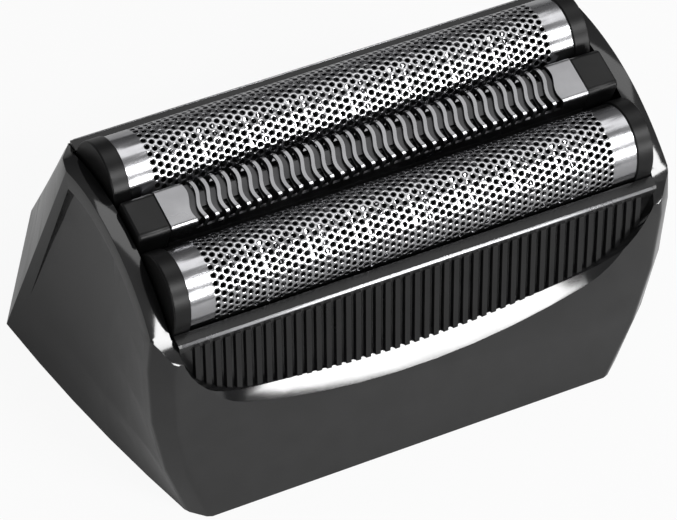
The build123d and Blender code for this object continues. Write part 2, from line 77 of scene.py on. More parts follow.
def new_group(name, inputs, outputs):
    """An empty shader group with float inputs, given as name to default, and float outputs."""
    group = bpy.data.node_groups.new(name, "ShaderNodeTree")
    for label, default in inputs.items():
        socket = group.interface.new_socket(label, in_out="INPUT", socket_type="NodeSocketFloat")
        socket.default_value = default
    for label in outputs:
        group.interface.new_socket(label, in_out="OUTPUT", socket_type="NodeSocketFloat")
    return group, add_node(group, "NodeGroupInput"), add_node(group, "NodeGroupOutput")


def add_noise(group, given, place, detail):
    """Noise over some coordinates, as fine as the group's Scale asks."""
    noise = add_node(group, "ShaderNodeTexNoise")
    noise.inputs["Detail"].default_value = detail
    group.links.new(place, noise.inputs["Vector"])
    group.links.new(given.outputs["Scale"], noise.inputs["Scale"])
    return noise.outputs["Fac"]


def make_grain_group():
    """Fine, even grain: a height for a bump."""
    group, given, result = new_group("moulded_grain", {"Scale": 9000.0}, ["Height"])
    place = add_node(group, "ShaderNodeTexCoord")
    noise = add_noise(group, given, place.outputs["Object"], 2.0)
    group.links.new(noise, result.inputs["Height"])
    return group


GROUPS = {"grain": make_grain_group()}
print("effect:", GROUPS["grain"].name)

# %% [markdown]
# Handling leaves a faint haze: broad, soft patches that are a little duller than the rest. One number for
# the roughness would look too clean. Broad noise, spread between a low and a high value that each finish
# chooses, gives the patches, and the same group also lets a colour drift between two tones.

# %% Handling haze
def make_haze_group():
    """Broad, soft patches between two values."""
    group, given, result = new_group("handling_haze", {"Scale": 160.0, "Low": 0.2, "High": 0.3}, ["Value"])
    place = add_node(group, "ShaderNodeTexCoord")
    noise = add_noise(group, given, place.outputs["Object"], 4.0)
    spread = add_node(group, "ShaderNodeMapRange")
    spread.inputs["From Min"].default_value = 0.3
    spread.inputs["From Max"].default_value = 0.7
    group.links.new(noise, spread.inputs["Value"])
    group.links.new(given.outputs["Low"], spread.inputs["To Min"])
    group.links.new(given.outputs["High"], spread.inputs["To Max"])
    group.links.new(spread.outputs["Result"], result.inputs["Value"])
    return group


GROUPS["haze"] = make_haze_group()
print("effect:", GROUPS["haze"].name)

# %% [markdown]
# Strip steel carries long, fine lines along its length, left by rolling and polishing. An anisotropic
# shader could stretch its highlights in the same way, but real lines also show close up. The noise of the
# grain gives them as soon as its coordinates are squeezed along X.

# %% Rolled lines
def make_rolled_group():
    """Long, fine lines along X: a height for a bump."""
    group, given, result = new_group("rolled_lines", {"Scale": 7000.0, "Stretch": 0.04}, ["Height"])
    place = add_node(group, "ShaderNodeTexCoord")
    squeeze = add_node(group, "ShaderNodeCombineXYZ")
    squeeze.inputs["Y"].default_value = 1.0
    squeeze.inputs["Z"].default_value = 1.0
    along = add_node(group, "ShaderNodeVectorMath", operation="MULTIPLY")
    group.links.new(given.outputs["Stretch"], squeeze.inputs["X"])
    group.links.new(place.outputs["Object"], along.inputs[0])
    group.links.new(squeeze.outputs["Vector"], along.inputs[1])
    noise = add_noise(group, given, along.outputs["Vector"], 3.0)
    group.links.new(noise, result.inputs["Height"])
    return group


GROUPS["lines"] = make_rolled_group()
print("effect:", GROUPS["lines"].name)

# %% [markdown]
# The shell is moulded in a dark, glossy plastic that shines like lacquer. Its finish is one Principled
# shader with three things round it: a colour that drifts between two tones, a roughness that follows the
# haze, and a shallow bump. Every other finish on the head is built in the same way. Each could be wired
# by hand, but one function does it alike for all, and a finish is then a short call with its own numbers.
# Constant values go straight on the shader's sockets.

# %% The shell's gloss
HAZE_SCALE = 160.0
DRIFT_SCALE = 2.3 * HAZE_SCALE
COLD_CAST = 1.03           # how much stronger blue is than red and green


def place_group(tree, effect, **values):
    """Places an effect in a material, with its own values."""
    node = add_node(tree, "ShaderNodeGroup", node_tree=GROUPS[effect])
    for label, value in values.items():
        node.inputs[label].default_value = value
    return node


def drifting_colour(tree, tones):
    """The colour socket of a grey that drifts between two tones."""
    drift = place_group(tree, "haze", Scale=DRIFT_SCALE, Low=0.0, High=1.0)
    blend = add_node(tree, "ShaderNodeMix", data_type="RGBA")
    for label, tone in zip(("A", "B"), tones):
        colour = next(s for s in blend.inputs if s.name == label and s.type == "RGBA")
        colour.default_value = (tone, tone, tone * COLD_CAST, 1.0)
    tree.links.new(drift.outputs["Value"], blend.inputs["Factor"])
    return next(s for s in blend.outputs if s.type == "RGBA")


def finish(name, tones, rough, bump, metallic=0.0, texture="grain", texture_scale=9000.0, specular=0.5):
    """A material: two tones, a (low, high) roughness, a bump depth in millimetres and a texture group."""
    material = bpy.data.materials.new(name)
    material.use_nodes = True
    tree = material.node_tree
    shader = tree.nodes["Principled BSDF"]
    shader.inputs["Metallic"].default_value = metallic
    shader.inputs["Specular IOR Level"].default_value = specular
    tree.links.new(drifting_colour(tree, tones), shader.inputs["Base Color"])
    haze = place_group(tree, "haze", Scale=HAZE_SCALE, Low=rough[0], High=rough[1])
    tree.links.new(haze.outputs["Value"], shader.inputs["Roughness"])
    surface = place_group(tree, texture, Scale=texture_scale)
    relief = add_node(tree, "ShaderNodeBump")
    relief.inputs["Strength"].default_value = 1.0
    relief.inputs["Distance"].default_value = bump * MM
    tree.links.new(surface.outputs["Height"], relief.inputs["Height"])
    tree.links.new(relief.outputs["Normal"], shader.inputs["Normal"])
    return material


SHELL_GLOSS = finish("gunmetal_gloss", (0.006, 0.010), (0.07, 0.14), 0.0005, texture_scale=2600.0,
                     specular=0.6)
print("finish:", SHELL_GLOSS.name)

# %% [markdown]
# The other plastics are black too, and only their shine tells them apart: the ribs have a soft one, the
# caps are satin and the frames are matt. One black for all would be quicker, but the pieces would run
# together in the picture. A higher roughness spreads what they mirror, and a lower specular level weakens
# it.

# %% Plastic finishes
CAP_BLACK = finish("satin_black_caps", (0.004, 0.006), (0.34, 0.44), 0.002, specular=0.22)
FRAME_BLACK = finish("matt_black_frames", (0.010, 0.015), (0.42, 0.55), 0.004, specular=0.35)
RIB_CHARCOAL = finish("charcoal_ribs", (0.005, 0.008), (0.20, 0.28), 0.003, specular=0.25)
print("finishes:", ", ".join(m.name for m in (CAP_BLACK, FRAME_BLACK, RIB_CHARCOAL)))

# %% [markdown]
# The steels differ in tone and polish: the foils are bright, the comb is satin, the blades under the foils
# are freshly ground, and the trimmer's blade has a very dark tone that is painted shade, the shade in the
# comb's slots over it. They could share one grey, but a metal's tone says how much of the room it gives
# back, and that differs from piece to piece. All of them carry the rolled lines.

# %% Steel finishes
def steel(name, tones, rough, bump=0.002):
    """A metal finish with rolled lines."""
    return finish(name, tones, rough, bump, metallic=1.0, texture="lines")


FOIL_STEEL = steel("bright_foil_steel", (0.32, 0.39), (0.18, 0.26))
COMB_STEEL = steel("satin_comb_steel", (0.19, 0.23), (0.24, 0.34), bump=0.003)
# The trimmer blade's very dark tone is painted shade: it darkens the comb's slots, through which the blade
# shows.
TRIM_STEEL_PAINTED_SHADE = steel("trimmer_steel_painted_shade", (0.035, 0.055), (0.24, 0.34))
BLADE_STEEL = steel("ground_blade_steel", (0.62, 0.70), (0.18, 0.28))
SPRING_STEEL = steel("spring_steel", (0.45, 0.52), (0.25, 0.35))
# The rails' steel is brighter than the shelf's black moulding: a painted highlight on the shelf's edge, lit
# by the lamps.
RAIL_PAINTED_HIGHLIGHT = steel("rail_painted_highlight", (0.26, 0.32), (0.24, 0.32))
print("steel finishes:", len([m for m in bpy.data.materials if "steel" in m.name]), "and", RAIL_PAINTED_HIGHLIGHT.name)

# %% [markdown]
# Every piece of the head ends in the same way: its mesh becomes an object at the origin, it rides on the
# body that carries it, and it stands for the solids it replaces. These lines could be written out for
# each piece, but one helper makes sure that none is forgotten. Smooth shading comes after it, and stays
# broken only where the form turns sharply.

# %% From a mesh to a piece
def new_object(bm, name, material):
    """Makes an object of one material out of a bmesh."""
    mesh = bpy.data.meshes.new(name)
    bm.to_mesh(mesh)
    bm.free()
    mesh.materials.append(material)
    made = bpy.data.objects.new(name, mesh)
    bpy.context.scene.collection.objects.link(made)
    return made


def to_piece(bm, name, body, slot, material, *nodes):
    """Makes a piece of a bmesh, lets it ride on a body, and lets it stand for the named solids."""
    piece = new_object(bm, name, material)
    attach(piece, body)
    if nodes:
        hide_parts(*nodes)
    return piece


def shade(piece, angle=32):
    """Smooth shading that breaks at edges sharper than an angle in degrees."""
    for face in piece.data.polygons:
        face.use_smooth = True
    piece.data.set_sharp_from_angle(angle=math.radians(angle))
    return piece


# %% [markdown]
# A moulded piece never has knife edges. A solid's mesh is loose triangles, so a copy is merged first, its
# flat triangles are dissolved into whole faces, and a small bevel follows every real edge. The pieces
# could be modelled a second time with round edges, but a softened copy keeps the solid's own shape, and
# that is already right.

# %% Softened copies of solids
MERGE = 0.002 * MM
FLAT_ANGLE = 0.5           # degrees by which triangles of one flat face may differ


def merged_copy(node):
    """A bmesh of a solid, with its loose triangles joined."""
    bm = bmesh.new()
    bm.from_mesh(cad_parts[node].data)
    bmesh.ops.remove_doubles(bm, verts=bm.verts, dist=MERGE)
    return bm


def softened(node, body, slot, material, edge, angle=25, segments=2, first=None):
    """A copy of a solid, shaped by a function first if one is given, with its sharp edges bevelled."""
    bm = merged_copy(node)
    bmesh.ops.dissolve_limit(bm, angle_limit=math.radians(FLAT_ANGLE), verts=bm.verts, edges=bm.edges)
    if first:
        first(bm)
    piece = to_piece(bm, node + "_soft", body, slot, material, node)
    bevel = piece.modifiers.new("soft_edges", "BEVEL")
    bevel.width = edge
    bevel.segments = segments
    bevel.limit_method = "ANGLE"
    bevel.angle_limit = math.radians(angle)
    bevel.use_clamp_overlap = True
    return shade(piece, angle)


loose = len(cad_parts["housing"].data.vertices)
joined = merged_copy("housing")
print("the housing's", loose, "loose points are merged to", len(joined.verts))
joined.free()

# %% [markdown]
# The housing's walls meet in upright creases at its corners, and on the real head these are rounded
# widely enough to carry a streak of light. A Bevel modifier is held back by the shortest edges it meets,
# so alone it can't round them so far. The creases are picked by where they lie and how sharply they turn,
# and an operator rounds just these, once the shortest edges have been joined.

# %% The shell's corners
SHORTEST_EDGE = 0.21 * MM                # shorter ones are joined
CORNER_R = 0.85 * MM
CORNER_SEGMENTS = 4
CORNER_X, CORNER_Y = 20 * MM, 9 * MM     # edges farther out than these are at a corner
CREASE_MIN_L = 1.5 * MM
CREASE_STEEP = 0.7                       # least rise of an upright edge, as a share of its length
CREASE_TURN = (30, 55)                   # degrees between the walls at a crease


def is_crease(edge):
    """Whether an edge is a long upright crease at a corner of the housing."""
    low, high = sorted((v.co for v in edge.verts), key=lambda p: p.z)
    upright = high.z - low.z > max(CREASE_STEEP * edge.calc_length(), CREASE_MIN_L)
    at_corner = all(abs(p.x) > CORNER_X and abs(p.y) > CORNER_Y for p in (low, high))
    least, most = CREASE_TURN
    return upright and at_corner and edge.is_convex and least < math.degrees(edge.calc_face_angle(0)) < most


def round_edges(bm, edges, radius, segments):
    """Rounds some edges, and says how many."""
    bmesh.ops.bevel(bm, geom=edges, offset=radius, affect="EDGES", segments=segments, profile=0.5,
                    material=-1, clamp_overlap=True)
    print("edges rounded by", round(radius / MM, 2), "mm:", len(edges))


def round_corners(bm):
    """Joins the housing's shortest edges, and rounds the creases at its corners."""
    bmesh.ops.remove_doubles(bm, verts=bm.verts, dist=SHORTEST_EDGE)
    creases = [edge for edge in bm.edges if is_crease(edge)]
    round_edges(bm, creases, CORNER_R, CORNER_SEGMENTS)


print("an edge at a corner lies past", CORNER_X / MM, "and", CORNER_Y / MM, "mm")

# %% [markdown]
# The end walls rise in an arch, and the rim along its top shows as a bright line. It is picked and
# rounded in the same way as the corners, after them. The modifier could round it with the rest, but the
# rim is a chain of short edges that would hold it back. All other edges of the shell are left to the
# modifier.

# %% The shell
RIM_R = 0.32 * MM
RIM_SEGMENTS = 3
RIM_X, RIM_Z = 24 * MM, 19.5 * MM        # edges beyond these are on an end wall's top
RIM_MIN_L = 0.4 * MM
RIM_MIN_TURN = 0.8                       # radians between the faces at a rim
SHELL_EDGE = 0.30 * MM


def is_rim(edge):
    """Whether an edge is on the rim of an end wall."""
    on_end_wall = all(abs(v.co.x) > RIM_X and v.co.z > RIM_Z for v in edge.verts)
    long_enough = edge.calc_length() > RIM_MIN_L
    return on_end_wall and long_enough and edge.is_convex and edge.calc_face_angle(0) > RIM_MIN_TURN


def round_shell(bm):
    """Rounds the housing's corners, and then the rims of its end walls."""
    round_corners(bm)
    rims = [edge for edge in bm.edges if is_rim(edge)]
    round_edges(bm, rims, RIM_R, RIM_SEGMENTS)


softened("housing", "housing", "shell", SHELL_GLOSS, SHELL_EDGE, segments=3, first=round_shell)

# %% [markdown]
# The ribbed panels, the foils' end caps and the trimmer's end blocks are small mouldings whose edges are
# nearly sharp. They could share one width of bevel, but thin ribs have room for far less than a cap or a
# block, so each kind has its own.

# %% Ribs, caps and blocks
RIB_EDGE = 0.05 * MM
CAP_EDGE = 0.12 * MM
BLOCK_EDGE = 0.18 * MM
for side in SIDES:
    softened(side + "_rib_panel", "housing", "rib_panel", RIB_CHARCOAL, RIB_EDGE)
    for end in ENDS:
        softened(f"{side}_{end}_cap", side + "_foil_unit", "cap_plastic", CAP_BLACK, CAP_EDGE)
for end in ENDS:
    softened(f"trimmer_{end}_block", "trimmer_unit", "cap_plastic", CAP_BLACK, BLOCK_EDGE, segments=3)

# %% [markdown]
# A thin bright line runs along the front edge of each shelf, above the ribs. It is a highlight on the
# edge of the black moulding, and here it is partly a painted highlight: a bar of steel, brighter than the
# moulding, that mirrors the lamps. It could be painted on by a mask, but a bar of its own takes the light
# along its whole length, so it is turned to lie on the shelf's slanted edge, with rounded edges.

# %% Bright rails, a painted highlight
RAIL_HALF_L = 23.5 * MM
RAIL_Y, RAIL_Z = 11.14 * MM, 20.80 * MM  # middle of the shelf's slanted edge
RAIL_W, RAIL_T = 0.30 * MM, 0.06 * MM
RAIL_R = 0.02 * MM
SHELF_SLANT = 45                         # degrees


def make_rail(side):
    """A bar along one shelf, its bright steel a painted highlight on the shelf's edge."""
    sign = -1 if side == "front" else 1
    bm = bmesh.new()
    bmesh.ops.create_cube(bm, size=1.0)
    bmesh.ops.scale(bm, vec=(2 * RAIL_HALF_L, RAIL_W, RAIL_T), verts=bm.verts)
    round_edges(bm, list(bm.edges), RAIL_R, 2)
    lean = Matrix.Rotation(math.radians(-SHELF_SLANT * sign), 3, "X")
    bmesh.ops.rotate(bm, cent=(0, 0, 0), matrix=lean, verts=bm.verts)
    bmesh.ops.translate(bm, vec=(0, sign * RAIL_Y, RAIL_Z), verts=bm.verts)
    return shade(to_piece(bm, side + "_rail", "housing", "rib_panel", RAIL_PAINTED_HIGHLIGHT))


for side in SIDES:
    print(make_rail(side).name, "is", 2 * RAIL_HALF_L / MM, "mm long")

# %% [markdown]
# The inner solids are right as they are. The frames, the bars and the head's own floor are matt
# mouldings, and the blades are steel. They could be softened too, but only slivers of them show between
# the foils and through the holes, so they only take a finish.

# %% Finishes on the inner solids
INNER = {
    FRAME_BLACK: ["chassis", "trimmer_frame", "trimmer_slider"],
    # the trimmer blade's dark finish is painted shade in the comb's slots
    TRIM_STEEL_PAINTED_SHADE: ["trimmer_blade"],
    BLADE_STEEL: [side + "_cutter_blades" for side in SIDES],
}
for side in SIDES:
    INNER[FRAME_BLACK] += [side + "_foil_frame", side + "_cutter_bar"]
for material, nodes in INNER.items():
    for node in nodes:
        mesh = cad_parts[node].data
        mesh.materials.clear()
        mesh.materials.append(material)
print("inner solids finished:", sum(len(nodes) for nodes in INNER.values()))

# %% [markdown]
# Under each floating unit stand two hairpin springs of bent steel strip. When a unit is pressed in, its
# springs are pressed shorter against the floor of the head. Riding on the unit they would sink through
# the floor, and riding on the floor they would poke through the unit. Here each pair is a merged copy of
# its solid, with a mesh of its own, that rides on the housing.


def make_springs(node):
    """A pair of springs copied from a solid to ride on the housing; gives back its height."""
    piece = to_piece(merged_copy(node), node + "_live", "housing", "spring_steel", SPRING_STEEL, node)
    shade(piece)
    low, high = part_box(node)
    tall = high.z - low.z
    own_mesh(piece)
    return tall


for joint in ("front_float", "trimmer_float", "rear_float"):
    node = "trimmer_springs" if joint == "trimmer_float" else joint + "_springs"
    print(node, "stands", round(make_springs(node) / MM, 2), "mm tall")

# %% [markdown]
# The foils are the heart of the head: steel as thin as paper, etched with about a thousand round holes in
# a honeycomb order, and bent over a crown. A texture could fake the holes, but light has to pass through
# them onto the blades below, so they are real. It starts with one cell: a circle, sunk a little as
# etching leaves it, whose edge is extruded to a rounded rim and then out to the cell's border. The border
# is a rectangle with extra points on its sides: those halfway up meet the corners of the next columns,
# which are moved by half a cell, so that all cells join point to point.

# %% One cell of the foil
HOLE_STEP = 0.73 * MM      # between holes, round the crown
COLUMN_STEP = 0.632 * MM   # between columns, along the foil
HOLE_R = 0.24 * MM
HOLE_RIM = 0.07 * MM       # width of the rounded edge round each hole
DIMPLE = 0.035 * MM        # how far that edge sinks
HOLE_SIDES = 12
# The border's points, anticlockwise from the right, as shares of half a cell.
BORDER_X = (1, 1, 0.5, 0, -0.5, -1, -1, -1, -0.5, 0, 0.5, 1)
BORDER_Y = (0, 1, 1, 1, 1, 1, 0, -1, -1, -1, -1, -1)


def new_verts(result):
    """The vertices in what an operator gives back."""
    return [g for g in result["geom"] if isinstance(g, bmesh.types.BMVert)]


def foil_cell():
    """A cell with a sunk hole, whose border meets its neighbours'."""
    bm = bmesh.new()
    sunk = Matrix.Translation((0, 0, -DIMPLE))
    bmesh.ops.create_circle(bm, segments=HOLE_SIDES, radius=HOLE_R, matrix=sunk)
    rim = new_verts(bmesh.ops.extrude_edge_only(bm, edges=list(bm.edges)))
    for vert in rim:
        vert.co = vert.co.xy.to_3d().normalized() * (HOLE_R + HOLE_RIM)
    outer = [edge for edge in bm.edges if all(v in rim for v in edge.verts)]
    for vert in new_verts(bmesh.ops.extrude_edge_only(bm, edges=outer)):
        turn = math.atan2(vert.co.y, vert.co.x) / (2 * math.pi)
        k = round(turn * HOLE_SIDES) % HOLE_SIDES
        vert.co = Vector((BORDER_X[k] * COLUMN_STEP / 2, BORDER_Y[k] * HOLE_STEP / 2, 0))
    return bm


cell = foil_cell()
print("a cell has", len(cell.faces), "faces round a hole of", round(2 * HOLE_R / MM, 2), "mm")
cell.free()

# %% [markdown]
# The crown's section is half an ellipse on straight sides. Bending a sheet over it needs the distance
# along the curve, which has no plain formula for an ellipse, so the curve is walked in short steps once
# and the walk is looked up. This keeps every hole round on the bent sheet.

# %% The crown's section
foil_low, foil_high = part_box("front_foil")
FOIL_HALF_L = foil_high.x
FOIL_MIDDLE_Y = abs(foil_low.y + foil_high.y) / 2
FOIL_HALF_W = (foil_high.y - foil_low.y) / 2
CROWN_RISE = 4.24 * MM
WALK_STEPS = 240


def crown_walk():
    """(distance from the top, offset in Y, height below the top) along one side of the crown."""
    walk = [(0.0, 0.0, 0.0)]
    for i in range(1, WALK_STEPS + 1):
        a = math.pi / 2 * i / WALK_STEPS
        y, drop = FOIL_HALF_W * math.sin(a), CROWN_RISE * (1 - math.cos(a))
        last = walk[-1]
        walk.append((last[0] + math.hypot(y - last[1], drop - last[2]), y, drop))
    return walk


CROWN = crown_walk()
CROWN_ROUND = CROWN[-1][0]


def on_crown(distance, lift):
    """The (offset in Y, drop) of a point of the sheet, this far from its middle line and above its face."""
    side, far = (1 if distance >= 0 else -1), abs(distance)
    if far >= CROWN_ROUND:
        return side * (FOIL_HALF_W + lift), CROWN_RISE + far - CROWN_ROUND
    k = next(i for i, row in enumerate(CROWN) if row[0] > far)
    (d0, y0, z0), (d1, y1, z1) = CROWN[k - 1], CROWN[k]
    t = (far - d0) / (d1 - d0)
    out = Vector((z1 - z0, y1 - y0)).normalized() * lift
    return side * (y0 + (y1 - y0) * t + out.x), z0 + (z1 - z0) * t - out.y


print("half the crown is", round(CROWN_ROUND / MM, 2), "mm round")

# %% [markdown]
# The etched field of a foil is many columns of holes, with every other column moved by half a cell. An
# Array modifier could repeat the cell, but it can't close the uneven edge that the moved columns leave.
# Copies of the cell make a column, copies of two columns make the field, and the cells' borders are
# merged. Rim edges are then pulled out to fill the uneven edge.

# %% The etched field
ROWS = 17
COLUMNS = 63
CELL_MERGE = 0.02 * MM
NUDGE = 0.05 * MM          # a rim edge this near to a line is on it; the holes' edges are farther off


def copies(bm, geom, count, step):
    """Repeats some geometry a number of times along a step."""
    made = list(geom)
    for i in range(1, count):
        twin = bmesh.ops.duplicate(bm, geom=geom)
        bmesh.ops.translate(bm, vec=step * i, verts=new_verts(twin))
        made += twin["geom"]
    return made


def pull_out(bm, on_line, axis, value):
    """Extrudes the rim edges whose middle is on a line, and sets one coordinate of the new vertices."""
    rim = [e for e in bm.edges if e.is_boundary and on_line((e.verts[0].co + e.verts[1].co) / 2)]
    for vert in new_verts(bmesh.ops.extrude_edge_only(bm, edges=rim)):
        vert.co[axis] = value


def etched_field():
    """All cells laid flat round the origin, with X along the foil and Y round the crown."""
    bm = foil_cell()
    up, along = Vector((0, HOLE_STEP, 0)), Vector((COLUMN_STEP, 0, 0))
    column = copies(bm, list(bm.verts) + list(bm.edges) + list(bm.faces), ROWS, up)
    copies(bm, column, (COLUMNS + 1) // 2, along * 2)
    moved = bmesh.ops.duplicate(bm, geom=column)
    bmesh.ops.translate(bm, vec=along + up / 2, verts=new_verts(moved))
    copies(bm, moved["geom"], COLUMNS // 2, along * 2)
    bmesh.ops.remove_doubles(bm, verts=bm.verts, dist=CELL_MERGE)
    low, high = -HOLE_STEP / 2, ROWS * HOLE_STEP
    pull_out(bm, lambda p: abs(p.y - high + HOLE_STEP / 2) < NUDGE, 1, high)
    pull_out(bm, lambda p: abs(p.y - low - HOLE_STEP / 2) < NUDGE, 1, low)
    bmesh.ops.remove_doubles(bm, verts=bm.verts, dist=CELL_MERGE)
    middle = Vector(((COLUMNS - 1) * COLUMN_STEP / 2, (low + high) / 2, 0))
    bmesh.ops.translate(bm, vec=-middle, verts=bm.verts)
    return bm


FIELD_HALF_X = COLUMNS * COLUMN_STEP / 2
FIELD_HALF_Y = (ROWS + 0.5) * HOLE_STEP / 2
print("the field has", ROWS * COLUMNS, "holes and is", round(2 * FIELD_HALF_X / MM, 1), "mm long")

# %% [markdown]
# A plain border runs round the etched field: a band at each end, and a skirt down each side that the
# frame holds. Modelling the sheet bent would make every step hard. Here it is finished flat, its rim
# pulled out to the border's size, and only then is each point moved onto the crown. The sheet gets its
# thickness last, so that it is even all over.

# %% The pierced foils
FOIL_T = 0.12 * MM
SHEET_SHARP = 40           # degrees past which an edge of thin sheet shades as sharp
SKIRT_Y = CROWN_ROUND + foil_high.z - CROWN_RISE - foil_low.z


def thicken(bm, thickness):
    """Turns an open sheet face up and gives it a thickness."""
    bmesh.ops.recalc_face_normals(bm, faces=bm.faces)
    if sum(face.normal.z for face in bm.faces) < 0:
        bmesh.ops.reverse_faces(bm, faces=bm.faces)
    bmesh.ops.solidify(bm, geom=list(bm.faces), thickness=thickness)


def make_foil(side):
    """One pierced foil, bordered, bent and given its thickness."""
    bm = etched_field()
    for sign in (-1, 1):
        pull_out(bm, lambda p: sign * p.x > FIELD_HALF_X - NUDGE, 0, sign * FOIL_HALF_L)
    for sign in (-1, 1):
        pull_out(bm, lambda p: sign * p.y > FIELD_HALF_Y - NUDGE, 1, sign * SKIRT_Y)
    middle = -FOIL_MIDDLE_Y if side == "front" else FOIL_MIDDLE_Y
    for vert in bm.verts:
        y, drop = on_crown(vert.co.y, vert.co.z)
        vert.co = Vector((vert.co.x, middle + y, foil_high.z - drop))
    thicken(bm, FOIL_T)
    piece = to_piece(bm, side + "_pierced_foil", side + "_foil_unit", "foil_steel", FOIL_STEEL,
                     side + "_foil")
    return shade(piece, SHEET_SHARP)


for side in SIDES:
    foil = make_foil(side)
    print(foil.name, "has", len(foil.data.polygons), "faces")

# %% [markdown]
# The trimmer's comb is one strip of steel, folded down along both long edges and cut across into thin
# teeth that bend like an S. Its shape is two curves: the folded section, seen from the end, and the
# teeth's bend, seen from above. A curve object could draw the section, but the comb needs it as rows of a
# grid, so both are plain functions.

# %% The comb's section and its teeth's bend
comb_low, comb_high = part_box("trimmer_comb")
SLOT_DEPTH = 1.25 * MM     # how far the slots run down each folded edge
TOOTH_BEND = 0.26 * MM
FOLD_R = 0.36 * MM
FOLD_STEPS = 5
TOP_STEPS = 18


def folded_section():
    """(Y, Z) points over the comb, from the foot of its back edge to the foot of its front edge."""
    half, top = comb_high.y, comb_high.z
    turn = [math.pi / 2 * i / FOLD_STEPS for i in range(FOLD_STEPS + 1)]
    back_edge = [(half, comb_low.z), (half, top - SLOT_DEPTH)]
    back_fold = [(half - FOLD_R + FOLD_R * math.cos(a), top - FOLD_R + FOLD_R * math.sin(a)) for a in turn]
    flat = half - FOLD_R
    across = [(flat - 2 * flat * i / TOP_STEPS, top) for i in range(1, TOP_STEPS)]
    front = [(-y, z) for y, z in reversed(back_edge + back_fold)]
    return back_edge + back_fold + across + front


def tooth_bend(y):
    """How far a tooth leans along X at a place across the comb: one S from back to front."""
    share = 0.5 - y / (2 * comb_high.y)
    return TOOTH_BEND * math.sin(2 * math.pi * share)


SECTION = folded_section()
print("the comb's section has", len(SECTION), "points")

# %% [markdown]
# Sawing slots out of a solid strip with a Boolean would leave ragged meshes. So the strip starts as a
# plain grid with one column of faces for each tooth and each slot. The slots' faces are deleted, and
# every point is then laid along the folded section and bent sideways into the S. Thickness comes last, as
# on the foils.

# %% The comb
SLOT_COUNT = 36
SLOT_PITCH = 1.02 * MM
SLOT_W = 0.68 * MM
COMB_T = 0.22 * MM


def slotted_grid(wide, deep):
    """A grid one unit in size whose every second column is open, but for its first and last face."""
    bm = bmesh.new()
    bmesh.ops.create_grid(bm, x_segments=wide, y_segments=deep, size=0.5)
    slots = []
    for face in bm.faces:
        middle = face.calc_center_median()
        column, row = int((middle.x + 0.5) * wide), int((middle.y + 0.5) * deep)
        if column % 2 == 1 and 0 < row < deep - 1:
            slots.append(face)
    bmesh.ops.delete(bm, geom=slots, context="FACES")
    return bm


def make_comb():
    """The slotted strip, folded, its teeth bent, and given its thickness."""
    first = -SLOT_PITCH * (SLOT_COUNT - 1) / 2
    cuts = [first + i * SLOT_PITCH + edge * SLOT_W / 2 for i in range(SLOT_COUNT) for edge in (-1, 1)]
    columns = [comb_low.x] + cuts + [comb_high.x]
    wide, deep = len(columns) - 1, len(SECTION) - 1
    bm = slotted_grid(wide, deep)
    for vert in bm.verts:
        column, row = round((vert.co.x + 0.5) * wide), round((vert.co.y + 0.5) * deep)
        y, z = SECTION[row]
        bend = tooth_bend(y) if 0 < column < wide else 0.0
        vert.co = Vector((columns[column] + bend, y, z))
    thicken(bm, COMB_T)
    piece = to_piece(bm, "slotted_comb", "trimmer_unit", "comb_steel", COMB_STEEL, "trimmer_comb")
    return shade(piece, SHEET_SHARP)


comb = make_comb()
print(comb.name, "has", SLOT_COUNT, "slots and", len(comb.data.polygons), "faces")

# %% [markdown]
# The floor under the head is nearly plain white in the picture. Lamps strong enough to whiten a floor
# would wash out the head, so the white comes from an Emission shader that is mixed in by Light Path, for
# rays straight from the camera. A little of the lit floor is left in the mix, and keeps the head's
# shadow. Mirrored rays meet a smaller share of the white, so that the dark gloss shows a grey floor with
# that shadow.

# %% The floor's white
FLOOR_GREY = (0.48, 0.48, 0.48, 1.0)
CAMERA_WHITE = 0.93        # share of plain white that the camera sees
MIRROR_WHITE = 0.18        # share of plain white that mirrors and glass see


def add_math(tree, operation, first, second):
    """A Math node whose inputs are each a socket or a number."""
    node = add_node(tree, "ShaderNodeMath", operation=operation)
    for socket, value in zip(node.inputs, (first, second)):
        if isinstance(value, float):
            socket.default_value = value
        else:
            tree.links.new(value, socket)
    return node.outputs["Value"]


pale = bpy.data.materials.new("pale_floor")
pale.use_nodes = True
tree = pale.node_tree
matt = tree.nodes["Principled BSDF"]
matt.inputs["Base Color"].default_value = FLOOR_GREY
matt.inputs["Roughness"].default_value = 0.85
white = add_node(tree, "ShaderNodeEmission")
ray = add_node(tree, "ShaderNodeLightPath")
straight = add_math(tree, "MULTIPLY", ray.outputs["Is Camera Ray"], CAMERA_WHITE)
bent = add_math(tree, "MAXIMUM", ray.outputs["Is Glossy Ray"], ray.outputs["Is Transmission Ray"])
mirrored = add_math(tree, "MULTIPLY", bent, MIRROR_WHITE)
both = add_node(tree, "ShaderNodeMixShader")
tree.links.new(add_math(tree, "MAXIMUM", straight, mirrored), both.inputs["Fac"])
tree.links.new(matt.outputs["BSDF"], both.inputs[1])
tree.links.new(white.outputs["Emission"], both.inputs[2])
tree.links.new(both.outputs["Shader"], tree.nodes["Material Output"].inputs["Surface"])
print(pale.name, "is", CAMERA_WHITE, "white to the camera and", MIRROR_WHITE, "in mirrors")

# %% [markdown]
# The floor itself is one flat face under the head, wide enough that its edge is far off in every view. A
# curved backdrop would hide the horizon in low views, but the picture looks down, so a flat floor is
# enough.

# %% Floor
FLOOR_SIZE = 3.0
bm = bmesh.new()
bmesh.ops.create_grid(bm, x_segments=1, y_segments=1, size=FLOOR_SIZE / 2)
floor = new_object(bm, "studio_floor", pale)
print(floor.name, "is", FLOOR_SIZE, "m wide")

# %% [markdown]
# The camera repeats the photograph's view: its azimuth, elevation, roll and distance, with a long lens
# that keeps the far end of the head nearly as large as the near one. A Track To constraint would aim it,
# but allows no roll, so its three axes are worked out from the angles. The shift is the few pixels by
# which the view's middle misses the frame's.

